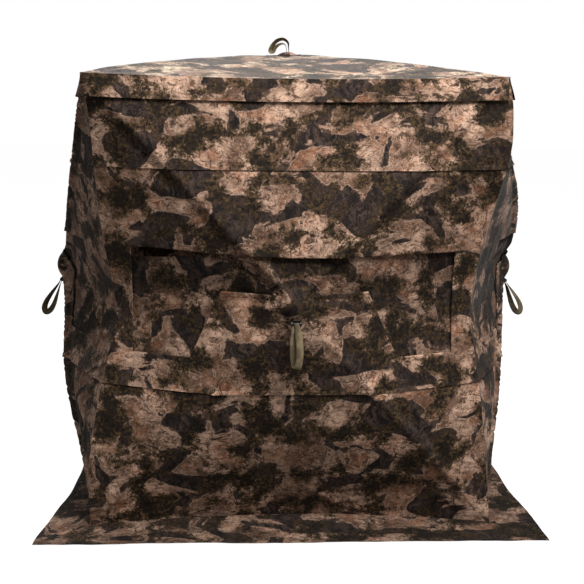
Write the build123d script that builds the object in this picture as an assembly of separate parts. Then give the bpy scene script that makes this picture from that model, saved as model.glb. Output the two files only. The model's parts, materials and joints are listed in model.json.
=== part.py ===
from build123d import *
from math import atan2, degrees, hypot
import os

os.makedirs("parts", exist_ok=True)

# Overall shape, mm. The origin is on the ground at the middle, +Z up, the front wall faces -Y.
HALF = 735.0  # half the side of the square at the eaves and at the ground
EAVE_Z = 1625.0
APEX_Z = 1706.0
HUB_REACH = 925.0  # from the middle to the cloth at a wall hub
HUB_Z = 855.0
WAIST = 635.0  # half the side of the square where the corner seams bow in, at hub height
SKIRT = 178.0
VALANCE = 78.0
SEAM_HEIGHTS = (535.0, 1315.0)

# Cloth and trim
CLOTH = 1.2
TAPE = 1.0
PATCH = 1.5
HOLE_R = 9.0  # hole in the cloth at each hub
SPREAD = 1.02  # facets are drawn this much too large, then trimmed at the mitres
REACH = 1100.0  # larger than any half width

# Windows, drawn as seen from outside: x across, z up
SILL_Z = 645.0
HEAD_Z = 1012.0
FRONT_WINDOW = 575.0
SIDE_WINDOW = 400.0
BIB_SILL = 365.0
BIB_TOP = 255.0
BIB_Z = 885.0
SIDE_BIB_SILL = 230.0
SIDE_BIB_TOP = 150.0
HEM = 20.0
CURTAIN_GAP = 8.0
CURTAIN_LAP = 35.0
CURTAIN_NOTCH = 62.0

# Hub, measured along its own axis from the middle of the blind
PIVOT = 882.0
PIVOT_R = 45.0
FLANGE_R = 42.0
FLANGE_LOW = 893.0
FLANGE_TOP = 903.0
BOSS_R = 27.0
BOSS_LOW = 866.0
EAR_R = 11.0
EAR_IN = 9.0
EAR_OUT = 14.0
CAP_R = 48.0
CAP_RIM = 926.0
CAP_TOP = 945.0
NECK_R = 8.0
BOLT_R = 4.0
PIN_R = 3.0
RUNNING = 0.05
ROOF_SHIFT = APEX_Z - HUB_REACH  # moves a hub drawn on +Z at the wall reach up to the roof

# Pull loop
LUG_Y = -62.0
LUG_Z = 929.0
LUG_R = 8.0
LUG_IN = 13.0
LUG_OUT = 17.0
TONGUE_TOP = 921.0
STRAP = 25.0
STRAP_THICK = 2.0
LOOP_EYE = 5.0
LOOP_BEND = 22.0
LOOP_LENGTH = 136.0
WALL_LEAN = 25.0  # degrees out from hanging straight down
ROOF_LEAN = 70.0  # degrees from straight up, towards -X

# Poles
ROD_R = 5.5
KNUCKLE_R = 8.0
KNUCKLE = 17.0
FERRULE = 50.0
SOCKET = 20.0
TIP_R = 7.0
TIP = 26.0
HIGH_TIP = Vector(695, -720, 1585)
LOW_TIP = Vector(695, -720, 32)
ROOF_TIP = Vector(690, -690, 1603)
SLEEVE_IN = 8.2
SLEEVE_OUT = 9.8
SLEEVE = 38.0

# Stake eyelets
EYELET_X = 845.0
EYELET_Y = 888.0
EYELET_R = 5.5
EYELET_BARREL = 8.0
EYELET_RIM = 11.0
EYELET_TOP = 3.0

# Door zips, on the back wall
ZIP_START = 75.0
ZIP_END_HIGH = 940.0
ZIP_END_LOW = 1075.0
SLIDER_HIGH = 905.0
SLIDER_LOW = 1030.0

HUB = Vector(0, -HUB_REACH, HUB_Z)
TOP_L = Vector(-HALF, -HALF, EAVE_Z)
TOP_R = Vector(HALF, -HALF, EAVE_Z)
LOW_L = Vector(-HALF, -HALF, 0)
LOW_R = Vector(HALF, -HALF, 0)
MID_L = Vector(-WAIST, -WAIST, HUB_Z)
MID_R = Vector(WAIST, -WAIST, HUB_Z)
WALL_FACETS = [
    (TOP_L, TOP_R),
    (LOW_R, LOW_L),
    (LOW_L, MID_L),
    (MID_L, TOP_L),
    (TOP_R, MID_R),
    (MID_R, LOW_R),
]
DOOR_FACETS = WALL_FACETS[4:]
WALLS = {"front": 0, "right": 90, "back": 180, "left": 270}
IN = Vector(0, 1, 0)
DOWN = Vector(0, 0, -1)


def sheet_prism(points, direction, depth):
    """The solid swept by a flat polygon."""
    face = Face(Wire.make_polygon([Vector(p) for p in points], close=True))
    return Solid.extrude(face, direction * depth)


def outline_prism(outline):
    """An outline in x and z, swept through the whole front half."""
    return sheet_prism([(x, 0, z) for x, z in outline], -IN, REACH)


MITRE = sheet_prism([(0, 0, -50), (-REACH, -REACH, -50), (REACH, -REACH, -50)], -DOWN, 1800)


def box_outline(x0, x1, z0, z1):
    return [(x0, z0), (x1, z0), (x1, z1), (x0, z1)]


def wall_layer(outlines, offset, depth, facets=WALL_FACETS):
    """Flat pieces of a layer of cloth on the front wall, offset inward from its outer face."""
    pieces = []
    for a, b in facets:
        corners = [HUB, HUB + (a - HUB) * SPREAD, HUB + (b - HUB) * SPREAD]
        slab = sheet_prism([p + IN * offset for p in corners], IN, depth)
        for outline in outlines:
            piece = slab & outline_prism(outline)
            if piece:
                piece = piece & MITRE
            if piece:
                pieces += [s for s in piece.solids() if s.volume > 1]
    return pieces


def roof_layer(offset, depth):
    """Four triangles from the roof hub to the eaves."""
    peak = Vector(0, 0, APEX_Z - offset)
    pieces = []
    for k in range(4):
        turn = Rot(0, 0, 90 * k)
        a = Vector(-HALF, -HALF, EAVE_Z - offset)
        b = Vector(HALF, -HALF, EAVE_Z - offset)
        pieces.append(turn * sheet_prism([peak, a, b], DOWN, depth))
    return pieces


def turned(pieces, angle):
    return [Rot(0, 0, angle) * p for p in pieces]


def around(pieces):
    """The same pieces on all four walls."""
    return [p for angle in WALLS.values() for p in turned(pieces, angle)]


def less(pieces, tool):
    return [s for p in pieces for s in (p - tool).solids()]


def save(name, pieces):
    solids = [s for p in pieces for s in p.solids()]
    shape = solids[0] if len(solids) == 1 else Compound(children=solids)
    export_step(shape, f"parts/{name}.step")


def rod_between(start, end, radius):
    line = end - start
    face = Plane(origin=start, z_dir=line) * Circle(radius)
    return extrude(face, line.length)


# Cloth


def wall_outlines(half, bib_sill, bib_top):
    """The wall round a window whose middle is closed by a bib of cloth up to the hub."""
    return [
        box_outline(-REACH, REACH, CLOTH, SILL_Z),
        box_outline(-REACH, REACH, HEAD_Z, EAVE_Z - CLOTH),
        box_outline(-REACH, -half, SILL_Z, HEAD_Z),
        box_outline(half, REACH, SILL_Z, HEAD_Z),
        [(-bib_sill, SILL_Z), (bib_sill, SILL_Z), (bib_top, BIB_Z), (-bib_top, BIB_Z)],
    ]


def hub_hole():
    return rod_between(HUB + IN * 60, HUB - IN * 60, HOLE_R)


def wall_cloth():
    """Front, sides and back, each with a hole for its hub. The back's right side is the door."""
    whole = [box_outline(-REACH, REACH, CLOTH, EAVE_Z - CLOTH)]
    front = wall_layer(wall_outlines(FRONT_WINDOW, BIB_SILL, BIB_TOP), 0, CLOTH)
    side = wall_layer(wall_outlines(SIDE_WINDOW, SIDE_BIB_SILL, SIDE_BIB_TOP), 0, CLOTH)
    back = wall_layer(whole, 0, CLOTH, WALL_FACETS[:4])
    door = wall_layer(whole, 0, CLOTH, DOOR_FACETS)
    hole = hub_hole()
    save("wall_front", less(front, hole))
    save("wall_right", turned(less(side, hole), WALLS["right"]))
    save("wall_left", turned(less(side, hole), WALLS["left"]))
    save("wall_back", turned(less(back, hole), WALLS["back"]))
    save("door_panel", turned(less(door, hole), WALLS["back"]))


def roof_cloth():
    hole = Pos(0, 0, APEX_Z) * Cylinder(HOLE_R, 60)
    save("roof_cloth", less(roof_layer(0, CLOTH), hole))


def valance():
    """The loose band that hangs outside the walls under the eaves."""
    band = [box_outline(-REACH, REACH, EAVE_Z - VALANCE, EAVE_Z - CLOTH)]
    save("eave_valance", around(wall_layer(band, -CLOTH, CLOTH)))


def seam_tapes():
    bands = [box_outline(-REACH, REACH, z - 6, z + 6) for z in SEAM_HEIGHTS]
    front = wall_layer(bands, -TAPE, TAPE)
    plain_facets = [f for f in WALL_FACETS if f not in DOOR_FACETS]
    back = wall_layer(bands, -TAPE, TAPE, plain_facets)
    back_pieces = less(less(back, zip_track(0)), zip_track(1))
    sides = [p for n in ("front", "right", "left") for p in turned(front, WALLS[n])]
    save("seam_tapes", sides + turned(back_pieces, WALLS["back"]))


def hem_outlines(half):
    """Strips behind the four edges of a window."""
    return [
        box_outline(-half - HEM, half + HEM, HEAD_Z, HEAD_Z + HEM),
        box_outline(-half - HEM, half + HEM, SILL_Z - HEM, SILL_Z),
        box_outline(-half - HEM, -half, SILL_Z, HEAD_Z),
        box_outline(half, half + HEM, SILL_Z, HEAD_Z),
    ]


def window_hems():
    front = wall_layer(hem_outlines(FRONT_WINDOW), CLOTH, TAPE)
    side = wall_layer(hem_outlines(SIDE_WINDOW), CLOTH, TAPE)
    save("window_hems", front + turned(side, WALLS["right"]) + turned(side, WALLS["left"]))


def curtain(half):
    """A sheet inside the wall that closes the window, cut away round the hub."""
    low = SILL_Z - CURTAIN_LAP
    high = HEAD_Z + CURTAIN_LAP
    side = half + CURTAIN_LAP
    notch = CURTAIN_NOTCH
    outlines = [
        box_outline(-side, -notch, low, high),
        box_outline(notch, side, low, high),
        box_outline(-notch, notch, HUB_Z + notch, high),
        box_outline(-notch, notch, low, HUB_Z - notch),
    ]
    return wall_layer(outlines, CURTAIN_GAP, CLOTH)


def curtains():
    save("curtain_front", curtain(FRONT_WINDOW))
    side = curtain(SIDE_WINDOW)
    save("curtain_right", turned(side, WALLS["right"]))
    save("curtain_left", turned(side, WALLS["left"]))


def eyelet_places():
    return [(x, y) for x in (-EYELET_X, EYELET_X) for y in (-EYELET_Y, EYELET_Y)]


def skirt():
    """Four strips on the ground, mitred at the corners and holed for the eyelets."""
    out = HALF + SKIRT
    inner = HALF - 5
    strip = [(-out, -out, 0), (out, -out, 0), (inner, -inner, 0), (-inner, -inner, 0)]
    pieces = around([sheet_prism(strip, -DOWN, CLOTH)])
    for x, y in eyelet_places():
        pieces = less(pieces, Pos(x, y, 0) * Cylinder(EYELET_BARREL, 10))
    save("ground_skirt", pieces)


def eyelets():
    rings = []
    rim_height = EYELET_TOP - CLOTH
    for x, y in eyelet_places():
        barrel = Pos(x, y, CLOTH / 2) * Cylinder(EYELET_BARREL, CLOTH)
        rim = Pos(x, y, CLOTH + rim_height / 2) * Cylinder(EYELET_RIM, rim_height)
        rings.append(barrel + rim - Pos(x, y, 0) * Cylinder(EYELET_R, 20))
    save("stake_eyelets", rings)


# Poles


def wall_pivot(tip):
    """The pivot on the front hub of the pole that reaches a tip."""
    reach = hypot(tip.X, tip.Z - HUB_Z)
    across = Vector(tip.X / reach, 0, (tip.Z - HUB_Z) / reach)
    return Vector(0, -PIVOT, HUB_Z) + across * PIVOT_R


def roof_pivot(tip):
    reach = hypot(tip.X, tip.Y)
    across = Vector(tip.X / reach, tip.Y / reach, 0)
    return Vector(0, 0, PIVOT + ROOF_SHIFT) + across * PIVOT_R


def pole_frame(pivot, tip, outward):
    """A plane at the pivot: x along the pole, y along its pin, z to the outside."""
    along = tip - pivot
    pin = outward.cross(along)
    return Plane(origin=pivot, x_dir=along, z_dir=along.cross(pin))


def pole(pivot, tip, outward):
    """Knuckle and ferrule, rod, and end cap."""
    length = (tip - pivot).length
    knuckle = Rot(90, 0, 0) * Cylinder(KNUCKLE_R, KNUCKLE)
    ferrule = Rot(0, 90, 0) * Pos(0, 0, FERRULE / 2) * Cylinder(KNUCKLE_R, FERRULE)
    rod_length = length - SOCKET - TIP_R
    rod = Rot(0, 90, 0) * Pos(0, 0, SOCKET + rod_length / 2) * Cylinder(ROD_R, rod_length)
    pin_hole = Rot(90, 0, 0) * Cylinder(PIN_R + RUNNING, 3 * KNUCKLE)
    sleeve_length = TIP - TIP_R
    sleeve = Rot(0, 90, 0) * Pos(0, 0, length - TIP_R - sleeve_length / 2) * Cylinder(
        TIP_R, sleeve_length
    )
    nose = Pos(length - TIP_R, 0, 0) * Sphere(TIP_R)
    end = knuckle + ferrule - pin_hole - rod
    cap = sleeve + nose - rod
    place = pole_frame(pivot, tip, outward).location
    return [place * end, place * rod, place * cap]


def mirrored_x(point):
    return Vector(-point.X, point.Y, point.Z)


def wall_poles():
    """The four poles of the front wall, by name. Left and right are as seen from outside."""
    tips = {
        "high_left": mirrored_x(HIGH_TIP),
        "high_right": HIGH_TIP,
        "low_left": mirrored_x(LOW_TIP),
        "low_right": LOW_TIP,
    }
    return {name: pole(wall_pivot(tip), tip, -IN) for name, tip in tips.items()}


def poles():
    front = wall_poles()
    for wall, angle in WALLS.items():
        for name, pieces in front.items():
            save(f"pole_{wall}_{name}", turned(pieces, angle))
    roof = pole(roof_pivot(ROOF_TIP), ROOF_TIP, -DOWN)
    corners = {"front_right": 0, "back_right": 90, "back_left": 180, "front_left": 270}
    for name, angle in corners.items():
        save(f"pole_roof_{name}", turned(roof, angle))


# Pockets


def pocket_sleeve(pivot, tip, outward, inside):
    """A sleeve round a pole's end, with a web that joins it to the cloth."""
    length = (tip - pivot).length
    middle = length + 4 - SLEEVE / 2
    tube = Pos(middle, 0, 0) * Rot(0, 90, 0) * Cylinder(SLEEVE_OUT, SLEEVE)
    bore = Pos(middle, 0, 0) * Rot(0, 90, 0) * Cylinder(SLEEVE_IN, SLEEVE + 2)
    web = Pos(middle, 0, 34) * Box(SLEEVE - 8, 1.6, 50)
    place = pole_frame(pivot, tip, outward).location
    trimmed = (place * web) & inside
    return (place * (tube - bore)) + trimmed


def inside_wall():
    """All that lies behind the front wall's patches, near its tips."""
    whole = [box_outline(-REACH, REACH, CLOTH, EAVE_Z - CLOTH)]
    return Solid.fuse(*wall_layer(whole, CLOTH + PATCH, 60))


def corner_pockets():
    room = inside_wall()
    low_edge = EAVE_Z - 135
    high = []
    low = []
    for side in (-1, 1):
        x = side * REACH
        patch = [(x, low_edge), (side * 600, EAVE_Z - CLOTH), (x, EAVE_Z - CLOTH)]
        foot = [(x, CLOTH), (side * 600, CLOTH), (x, 135)]
        high += wall_layer([patch], CLOTH, PATCH)
        low += wall_layer([foot], CLOTH, PATCH)
        high_tip = HIGH_TIP if side > 0 else mirrored_x(HIGH_TIP)
        low_tip = LOW_TIP if side > 0 else mirrored_x(LOW_TIP)
        high.append(pocket_sleeve(wall_pivot(high_tip), high_tip, -IN, room))
        low.append(pocket_sleeve(wall_pivot(low_tip), low_tip, -IN, room))
    under_roof = Solid.fuse(*roof_layer(CLOTH, 60))
    roof = pocket_sleeve(roof_pivot(ROOF_TIP), ROOF_TIP, -DOWN, under_roof)
    save("pockets_high", around(high) + around([roof]))
    save("pockets_low", around(low))


# Hubs


def wall_hub_place(angle):
    return Rot(0, 0, angle) * Pos(0, 0, HUB_Z) * Rot(90, 0, 0)


def wall_pole_angles():
    """Directions of the poles round a wall hub's axis, in degrees from +x."""
    tips = [HIGH_TIP, mirrored_x(HIGH_TIP), LOW_TIP, mirrored_x(LOW_TIP)]
    return [degrees(atan2(t.Z - HUB_Z, t.X)) for t in tips]


def ear(side):
    """One of the two ears that hold a pole's knuckle."""
    y = side * (EAR_IN + EAR_OUT) / 2
    thick = EAR_OUT - EAR_IN
    cheek = Pos(PIVOT_R, y, PIVOT) * Rot(90, 0, 0) * Cylinder(EAR_R, thick)
    root = Pos(PIVOT_R / 2 + 5, y, PIVOT) * Box(PIVOT_R - 10, thick, 2 * EAR_R)
    bridge = Pos(PIVOT_R / 2 + 4, y, FLANGE_LOW) * Box(PIVOT_R - 14, thick, 4)
    return cheek + root + bridge


def hub_body(angles):
    boss_height = FLANGE_LOW - BOSS_LOW
    body = Pos(0, 0, BOSS_LOW + boss_height / 2) * Cylinder(BOSS_R, boss_height)
    plate = FLANGE_TOP - FLANGE_LOW
    body += Pos(0, 0, FLANGE_LOW + plate / 2) * Cylinder(FLANGE_R, plate)
    for angle in angles:
        for side in (-1, 1):
            body += Rot(0, 0, angle) * ear(side)
    for angle in angles:
        hole = Pos(PIVOT_R, 0, PIVOT) * Rot(90, 0, 0) * Cylinder(PIN_R, 4 * EAR_OUT)
        body -= Rot(0, 0, angle) * hole
    return body - Pos(0, 0, PIVOT) * Cylinder(BOLT_R + 0.2, 80)


def pin(half_length):
    """A headed pin on the y axis."""
    shank = Rot(90, 0, 0) * Cylinder(PIN_R, 2 * half_length)
    heads = [Pos(0, s * (half_length + 1), 0) * Rot(90, 0, 0) * Cylinder(4.5, 2) for s in (-1, 1)]
    return shank + heads[0] + heads[1]


def hub_fasteners(angles, lug_turn):
    """Four pole pins, the loop's pin, and the bolt with its nut."""
    pieces = [Rot(0, 0, a) * Pos(PIVOT_R, 0, PIVOT) * pin(EAR_OUT) for a in angles]
    pieces.append(Pos(0, LUG_Y, LUG_Z) * Rot(0, 0, lug_turn) * pin(LUG_OUT))
    nut_low = BOSS_LOW - 7
    head_low = CAP_TOP - 7
    shank_length = head_low - nut_low
    shank = Pos(0, 0, nut_low + shank_length / 2) * Cylinder(BOLT_R, shank_length)
    head = Pos(0, 0, head_low + 2.5) * Cylinder(7.5, 5)
    nut = Pos(0, 0, nut_low) * extrude(RegularPolygon(7.5, 6), 7)
    nut -= Pos(0, 0, nut_low) * Cylinder(BOLT_R, 20)
    pieces.append(shank + head)
    pieces.append(nut)
    return pieces


def lug(turn):
    """Two cheeks for the loop's pin, on a tongue that lies on the cloth."""
    low = TONGUE_TOP - 30
    tongue = Pos(0, -55, (low + TONGUE_TOP) / 2) * Box(2 * LUG_OUT, 52, 30)
    cheeks = None
    for side in (-1, 1):
        y = side * (LUG_IN + LUG_OUT) / 2
        thick = LUG_OUT - LUG_IN
        cheek = Pos(0, y, 0) * Rot(90, 0, 0) * Cylinder(LUG_R, thick)
        foot = Pos(0, y, -6) * Box(2 * LUG_R, thick, 8)
        cheeks = cheek + foot if cheeks is None else cheeks + cheek + foot
    return tongue + Pos(0, LUG_Y, LUG_Z) * Rot(0, 0, turn) * cheeks


def hub_cap(cloth, turn):
    """A dome that sits on the outside of the cloth, its neck running through to the hub."""
    rise = CAP_TOP - CAP_RIM
    radius = (CAP_R**2 + rise**2) / (2 * rise)
    ball = Pos(0, 0, CAP_TOP - radius) * Sphere(radius)
    drum = Pos(0, 0, 920) * Cylinder(CAP_R, 60)
    dome = (ball & drum) + lug(turn)
    dome -= cloth
    neck_height = 930 - FLANGE_TOP
    dome += Pos(0, 0, FLANGE_TOP + neck_height / 2) * Cylinder(NECK_R, neck_height)
    dome -= Pos(0, 0, 920) * Cylinder(BOLT_R + 0.2, 80)
    dome -= Pos(0, 0, CAP_TOP) * Cylinder(8.5, 14)
    at_lug = Pos(0, LUG_Y, LUG_Z) * Rot(0, 0, turn)
    for side in (-1, 1):
        dome -= at_lug * Pos(0, side * (LUG_OUT + 3), 0) * Rot(90, 0, 0) * Cylinder(5.5, 6)
    return dome - at_lug * Rot(90, 0, 0) * Cylinder(PIN_R, 50)


def pull_loop(lean, turn):
    """A teardrop of webbing whose eye turns on the lug's pin."""
    small = Circle(LOOP_EYE).edges()
    large = (Pos(0, -LOOP_LENGTH) * Circle(LOOP_BEND)).edges()
    outside = make_hull(small + large)
    inner_small = (Pos(0, -LOOP_EYE - 6) * Circle(1.5)).edges()
    inner_large = (Pos(0, -LOOP_LENGTH) * Circle(LOOP_BEND - STRAP_THICK)).edges()
    inside = make_hull(inner_small + inner_large)
    flat = outside - inside - Circle(PIN_R + RUNNING)
    strap = Pos(0, 0, -STRAP / 2) * extrude(flat, STRAP)
    return Pos(0, LUG_Y, LUG_Z) * Rot(0, 0, turn) * Rot(-lean, 0, 0) * Rot(0, 90, 0) * strap


def hubs():
    inside = Solid.fuse(*wall_layer([box_outline(-150, 150, 705, 1005)], 0, 60))
    behind = Rot(-90, 0, 0) * Pos(0, 0, -HUB_Z) * inside
    angles = wall_pole_angles()
    body = hub_body(angles)
    cap = hub_cap(behind, 90)
    loop = pull_loop(WALL_LEAN, 0)
    pins = hub_fasteners(angles, 90)
    for wall, angle in WALLS.items():
        place = wall_hub_place(angle)
        save(f"hub_{wall}_body", [place * body])
        save(f"hub_{wall}_cap", [place * cap])
        save(f"hub_{wall}_fasteners", [place * p for p in pins])
        save(f"pull_loop_{wall}", [place * loop])
    raised = Pos(0, 0, ROOF_SHIFT)
    under = Pos(0, 0, -ROOF_SHIFT) * Solid.fuse(*roof_layer(0, 60))
    roof_angles = [45, 135, 225, 315]
    save("hub_roof_body", [raised * hub_body(roof_angles)])
    save("hub_roof_cap", [raised * hub_cap(under, 0)])
    save("hub_roof_fasteners", [raised * p for p in hub_fasteners(roof_angles, 0)])
    save("pull_loop_roof", [raised * pull_loop(90 - ROOF_LEAN, -90)])


# Door zips


def ridge(index):
    """The pole line beside the door: where it starts, its direction, and its outward normal."""
    corner = (TOP_R, LOW_R)[index]
    plain = (HUB - TOP_L).cross(HUB - TOP_R) if index == 0 else (HUB - LOW_R).cross(HUB - LOW_L)
    door = (HUB - TOP_R).cross(HUB - MID_R) if index == 0 else (HUB - MID_R).cross(HUB - LOW_R)
    normals = [n.normalized() * (-1 if n.Y > 0 else 1) for n in (plain, door)]
    return HUB, (corner - HUB).normalized(), (normals[0] + normals[1]).normalized()


def ridge_strip(index, start, end, half):
    """An outline in x and z along a pole line, by distance across the wall from the hub."""
    corner = (TOP_R, LOW_R)[index]
    length = hypot(corner.X, corner.Z - HUB_Z)
    ux = corner.X / length
    uz = (corner.Z - HUB_Z) / length
    ends = [(start, -half), (end, -half), (end, half), (start, half)]
    return [(ux * d - uz * s, HUB_Z + uz * d + ux * s) for d, s in ends]


def zip_track(index):
    """Room for a zip on the back wall, to keep the seam tapes off it."""
    end = (ZIP_END_HIGH, ZIP_END_LOW)[index]
    return outline_prism(ridge_strip(index, ZIP_START, end, 12))


def door_zips():
    pieces = []
    for index, end in enumerate((ZIP_END_HIGH, ZIP_END_LOW)):
        tape = ridge_strip(index, ZIP_START, end, 12)
        teeth = ridge_strip(index, ZIP_START, end, 3)
        pieces += wall_layer([tape], -TAPE, TAPE)
        pieces += wall_layer([teeth], -2 * TAPE, TAPE)
    save("door_zips", turned(pieces, WALLS["back"]))


def slider(index, distance):
    """A zip slider above the teeth, with its pull tab."""
    start, along, outward = ridge(index)
    corner = (TOP_R, LOW_R)[index]
    share = distance / hypot(corner.X, corner.Z - HUB_Z)
    spot = start + (corner - start) * share + outward * (2 * TAPE + 0.5)
    plate = Pos(0, 0, 1.5) * Box(26, 16, 3)
    lips = [Pos(0, s * 7, 0) * Box(26, 2, 1) for s in (-1, 1)]
    bail = Pos(0, 0, 5) * Box(14, 3, 5)
    tab = Pos(-22, 0, 8) * Box(46, 9, 1.6)
    hole = Pos(-38, 0, 8) * Cylinder(2.5, 6)
    shape = plate + lips[0] + lips[1] + bail + tab - hole
    return Plane(origin=spot, x_dir=along, z_dir=outward).location * shape


def sliders():
    save("zip_slider_high", turned([slider(0, SLIDER_HIGH)], WALLS["back"]))
    save("zip_slider_low", turned([slider(1, SLIDER_LOW)], WALLS["back"]))


wall_cloth()
roof_cloth()
valance()
seam_tapes()
window_hems()
curtains()
skirt()
eyelets()
poles()
corner_pockets()
hubs()
door_zips()
sliders()
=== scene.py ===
import bpy
import json
import math
import numpy as np
from mathutils import Matrix, Vector
from mathutils.geometry import delaunay_2d_cdt


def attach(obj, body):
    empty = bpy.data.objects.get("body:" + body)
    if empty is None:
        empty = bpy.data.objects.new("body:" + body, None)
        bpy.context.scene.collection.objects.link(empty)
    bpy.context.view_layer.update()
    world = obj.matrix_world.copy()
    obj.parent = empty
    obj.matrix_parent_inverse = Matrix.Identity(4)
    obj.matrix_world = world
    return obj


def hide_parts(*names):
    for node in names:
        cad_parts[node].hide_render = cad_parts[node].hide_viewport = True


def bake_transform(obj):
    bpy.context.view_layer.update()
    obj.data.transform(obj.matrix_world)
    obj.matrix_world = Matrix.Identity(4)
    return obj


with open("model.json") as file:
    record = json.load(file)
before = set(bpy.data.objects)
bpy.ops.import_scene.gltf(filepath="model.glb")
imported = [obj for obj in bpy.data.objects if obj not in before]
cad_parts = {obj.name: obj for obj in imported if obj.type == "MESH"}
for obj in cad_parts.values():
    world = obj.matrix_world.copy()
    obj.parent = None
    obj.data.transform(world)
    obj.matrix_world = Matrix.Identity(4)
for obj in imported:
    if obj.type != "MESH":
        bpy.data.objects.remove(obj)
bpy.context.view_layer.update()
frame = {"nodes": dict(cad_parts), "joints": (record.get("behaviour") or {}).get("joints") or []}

# The walls in turn, each a quarter turn on from the last, and the corner at each one's left
WALLS = {"front": 0, "right": 1, "back": 2, "left": 3}
CORNERS = ("front_left", "front_right", "back_right", "back_left")

# Sizes in metres, as in the part
HALF = 0.735
EAVE = 1.625
APEX = 1.706
REACH = 0.925
HUB_Z = 0.855
SKIRT_OUT = 0.913
VALANCE_DROP = 0.079
SEAM_LEVELS = (0.535, 1.315)
SEAM_WIDTH = 0.015
WINDOW_TOP = 1.012
WINDOW_CORNER = 1.03
WINDOW_SILL = 0.645
BIB_TOP = 0.885
CURTAIN_FOOT = 0.61
WEB_R = 0.135
STRAP_WIDTH = 0.025
STRAP_THICK = 0.0018

# Hub caps, their cloth covers, and the pins that hold the pull loops
CAP_R = 0.048
CAP_TOP = 0.945
CAP_RIM = 0.926
COVER_R = 0.088
LUG_OUT = 0.929
LUG_Z = HUB_Z - 0.062
ROOF_PIN = np.array([0, -0.062, 1.710])

# How the cloth hangs: sag at the eaves, bow and lift at the foot, and rounding over a pole
EAVE_SAG = 0.015
FOOT_BOW = 0.045
FOOT_LIFT = 0.02
BEND = 0.022
# How far each wall puffs out above and below its hub
PUFF = {"front": (0.010, 0.012), "right": (0.062, 0.012), "back": (0.012, 0.012), "left": (0.004, 0.050)}
PUFF_LEVELS = (0.44, 1.19)
# How far each side skirt is pulled in toward the back
SKIRT_PULL = {"left": 0.066, "right": 0.026}

# Mesh spacing, and points along a band of cloth
STEP = 0.014
BAND = 150

# The camouflage: its tint, and how far it shifts from wall to wall, panel to panel and on bands
WARMTH = (1.04, 0.965, 0.89)
WALL_SHIFT = 2.1
PANEL_SHIFT = ((0.43, 1.37), (0.0, 0.0), (1.61, 3.13))
BAND_SHIFT = (0.4, 0.6)

# Light that the white surroundings give, as a share of their brightness in the picture
FILL = 0.25

# Corner seams: how far in from the half width, in millimetres, at these heights
WAIST_Z = [0.0, 0.1, 0.225, 0.456, 0.63, 0.777, 0.9, 1.08, 1.294, 1.4, 1.539, 1.625]
WAIST_IN = {
    "front_left": [0, -1, -2, 32, 72, 103, 85, 55, 36, 30, 16, 0],
    "front_right": [0, 8, 18, 40, 66, 86, 78, 46, -6, -22, -18, -2],
    "back_right": [0, 5, 15, 45, 75, 100, 90, 66, 36, 24, 10, 0],
    "back_left": [0, 5, 15, 45, 75, 100, 90, 66, 36, 24, 10, 0],
}

# Camera, found by fitting it to the object's corners
CAMERA_AT = (-0.1912, -4.6245, 1.5569)
YAW = 0.0475
PITCH = 0.175
ROLL = -0.0101
LENS = 68.8


def add_camera():
    """The camera, turned by its yaw, pitch and roll."""
    side = Vector((math.cos(YAW), -math.sin(YAW), 0))
    ahead = Vector((math.sin(YAW) * math.cos(PITCH), math.cos(YAW) * math.cos(PITCH), -math.sin(PITCH)))
    up = side.cross(ahead)
    right = math.cos(ROLL) * side - math.sin(ROLL) * up
    top = math.sin(ROLL) * side + math.cos(ROLL) * up
    data = bpy.data.cameras.new("camera")
    data.lens = LENS
    data.sensor_width = 36
    camera = bpy.data.objects.new("camera", data)
    bpy.context.scene.collection.objects.link(camera)
    turn = Matrix((right, top, -ahead)).transposed().to_4x4()
    camera.matrix_world = Matrix.Translation(CAMERA_AT) @ turn
    bpy.context.scene.camera = camera


# Shape of the walls


def smooth(t):
    """An S curve from 0 to 1, flat outside."""
    t = np.clip(t, 0, 1)
    return t * t * (3 - 2 * t)


def waist_half(corner, z):
    """Half the width of the blind at a corner seam, by height."""
    fine = np.linspace(0, EAVE, 163)
    inward = np.interp(fine, WAIST_Z, WAIST_IN[corner])
    kernel = np.hanning(13)
    padded = np.pad(inward, 6, mode="edge")
    inward = np.convolve(padded, kernel / kernel.sum(), mode="valid")
    return HALF - np.interp(z, fine, inward) / 1000


def wall_halves(wall, x, z):
    """Half width of a wall at each point's height, on the side that the point is on."""
    k = WALLS[wall]
    left = waist_half(CORNERS[k], z)
    right = waist_half(CORNERS[(k + 1) % 4], z)
    return np.where(x < 0, left, right)


def rise_of(z):
    """0 at the hub's height, 1 at the eave and at the ground."""
    return np.where(z > HUB_Z, (z - HUB_Z) / (EAVE - HUB_Z), (HUB_Z - z) / HUB_Z)


def waves(x, z, seed, count, low, high):
    """Irregular ripples: plane waves of many lengths and directions, about -1 to 1."""
    rng = np.random.RandomState(seed)
    total = np.zeros_like(x)
    for _ in range(count):
        length = low * (high / low) ** rng.rand()
        angle = rng.rand() * 2 * math.pi
        phase = rng.rand() * 2 * math.pi
        across = math.cos(angle) * x + math.sin(angle) * z
        total += np.sin(across * 2 * math.pi / length + phase) * rng.uniform(0.5, 1)
    return total / count * 2


def fan(x, z, cx, cz, folds, spread, seed):
    """Tension folds that run out of a point and fade."""
    dx = x - cx
    dz = z - cz
    away = np.hypot(dx, dz)
    angle = np.arctan2(dz, dx)
    bend = waves(x, z, seed, 4, 0.3, 0.9) * 0.35
    ridge = np.sin(folds * angle + seed + bend)
    return ridge * smooth(away / 0.06) * np.exp(-away / spread)


def eased(past):
    """Distance past a pole's line, rounded off where the cloth bends over the pole."""
    return 0.5 * (past + np.sqrt(past * past + BEND**2))


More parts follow.
